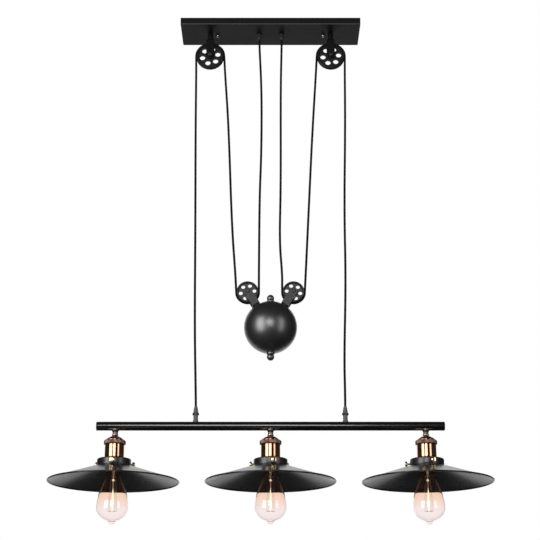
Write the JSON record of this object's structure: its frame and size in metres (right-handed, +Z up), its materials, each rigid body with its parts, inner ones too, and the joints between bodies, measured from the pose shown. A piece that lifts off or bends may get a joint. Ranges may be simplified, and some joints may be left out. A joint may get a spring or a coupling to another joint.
{
  "type": "rise and fall pendant",
  "caption": "Island pendant light: shaded lamps on a bar, raised and lowered on cords that run over pulleys to a ball counterweight under a ceiling canopy.",
  "frame": {"origin": "middle of the ceiling face, where the mounting bracket meets the ceiling", "axes": "+Z up out of the ceiling face, +X along the lamp bar to the right as seen from the front, -Y towards the front"},
  "size_m": [0.88, 0.26, 1.0945],
  "materials": {
    "black_steel": "satin",
    "black_pulley": "satin",
    "ball_black": "satin",
    "plated_steel": "gloss",
    "zinc_steel": "satin",
    "iron": "matte",
    "cord": "matte",
    "grip_grey": "matte",
    "black_plastic": "matte",
    "copper": "polished",
    "copper_knurl": "satin",
    "brass": "polished",
    "porcelain": "gloss",
    "shade_black": "satin",
    "bulb_glass": "gloss",
    "filament": "gloss"
  },
  "bodies": {
    "ceiling_mount": {"mounting_bracket": "zinc_steel", "canopy_shell": "black_steel", "canopy_studs": "zinc_steel", "canopy_cap_nuts": "plated_steel", "terminal_block": "black_plastic", "canopy_cord_grips": "black_plastic", "canopy_lock_nuts": "zinc_steel", "left_fork": "black_steel", "right_fork": "black_steel", "fork_stems": "black_steel", "upper_axles": "black_steel", "left_canopy_run": "cord", "left_inner_run": "cord", "left_upper_wrap": "cord", "left_bar_run": "cord", "right_canopy_run": "cord", "right_inner_run": "cord", "right_upper_wrap": "cord", "right_bar_run": "cord"},
    "counterweight": {"ball_upper_half": "ball_black", "ball_lower_half": "ball_black", "ball_ballast": "iron", "ball_rod": "zinc_steel", "top_finial": "ball_black", "bottom_finial": "ball_black", "left_yoke": "black_steel", "right_yoke": "black_steel", "yoke_bolts": "zinc_steel", "lower_axles": "black_steel", "left_lower_wrap": "cord", "right_lower_wrap": "cord"},
    "lamp_bar": {"bar_tube": "black_steel", "bar_end_caps": "black_steel", "bar_cord_grips": "grip_grey", "bar_lead": "black_plastic", "drop_nipples": "zinc_steel", "socket_caps": "copper", "socket_rings": "copper_knurl", "socket_shells": "copper", "socket_cores": "porcelain", "socket_contacts": "brass", "shade_collars": "black_steel", "thumb_screws": "brass", "left_shade": "shade_black", "centre_shade": "shade_black", "right_shade": "shade_black"},
    "left_upper_pulley": {"left_upper_pulley": "black_pulley"},
    "left_lower_pulley": {"left_lower_pulley": "black_pulley"},
    "right_upper_pulley": {"right_upper_pulley": "black_pulley"},
    "right_lower_pulley": {"right_lower_pulley": "black_pulley"},
    "left_bulb": {"left_bulb_glass": "bulb_glass", "left_bulb_base": "brass", "left_bulb_filament": "filament"},
    "centre_bulb": {"centre_bulb_glass": "bulb_glass", "centre_bulb_base": "brass", "centre_bulb_filament": "filament"},
    "right_bulb": {"right_bulb_glass": "bulb_glass", "right_bulb_base": "brass", "right_bulb_filament": "filament"}
  },
  "joints": [
    {"name": "rise_fall", "type": "slide", "parent": "ceiling_mount", "child": "lamp_bar", "axis": [0, 0, 1], "range_m": [-0.5, 0.07], "deforming": ["left_bar_run", "right_bar_run"]},
    {"name": "counterweight_travel", "type": "slide", "parent": "ceiling_mount", "child": "counterweight", "axis": [0, 0, 1], "range_m": [-0.036, 0.251], "deforming": ["left_canopy_run", "right_canopy_run", "left_inner_run", "right_inner_run"]},
    {"name": "left_upper_pulley_turn", "type": "hinge", "parent": "ceiling_mount", "child": "left_upper_pulley", "pos_m": [-0.1335, 0, -0.07], "axis": [0, 1, 0], "continuous": true},
    {"name": "left_lower_pulley_turn", "type": "hinge", "parent": "counterweight", "child": "left_lower_pulley", "pos_m": [-0.04756, 0, -0.61878], "axis": [0, 1, 0], "continuous": true},
    {"name": "right_upper_pulley_turn", "type": "hinge", "parent": "ceiling_mount", "child": "right_upper_pulley", "pos_m": [0.1335, 0, -0.07], "axis": [0, 1, 0], "continuous": true},
    {"name": "right_lower_pulley_turn", "type": "hinge", "parent": "counterweight", "child": "right_lower_pulley", "pos_m": [0.04756, 0, -0.61878], "axis": [0, 1, 0], "continuous": true},
    {"name": "left_bulb_turn", "type": "hinge", "parent": "lamp_bar", "child": "left_bulb", "pos_m": [-0.31, 0, -0.9788], "axis": [0, 0, 1], "range_deg": [-1080, 0]},
    {"name": "centre_bulb_turn", "type": "hinge", "parent": "lamp_bar", "child": "centre_bulb", "pos_m": [0, 0, -0.9788], "axis": [0, 0, 1], "range_deg": [-1080, 0]},
    {"name": "right_bulb_turn", "type": "hinge", "parent": "lamp_bar", "child": "right_bulb", "pos_m": [0.31, 0, -0.9788], "axis": [0, 0, 1], "range_deg": [-1080, 0]}
  ],
  "couplings": [
    {"joint": "counterweight_travel", "follows": "rise_fall", "ratio": -0.5},
    {"joint": "left_upper_pulley_turn", "follows": "rise_fall", "rad_per_m": 32.258},
    {"joint": "left_lower_pulley_turn", "follows": "rise_fall", "rad_per_m": -21.368},
    {"joint": "right_upper_pulley_turn", "follows": "rise_fall", "rad_per_m": -32.258},
    {"joint": "right_lower_pulley_turn", "follows": "rise_fall", "rad_per_m": 21.368}
  ]
}
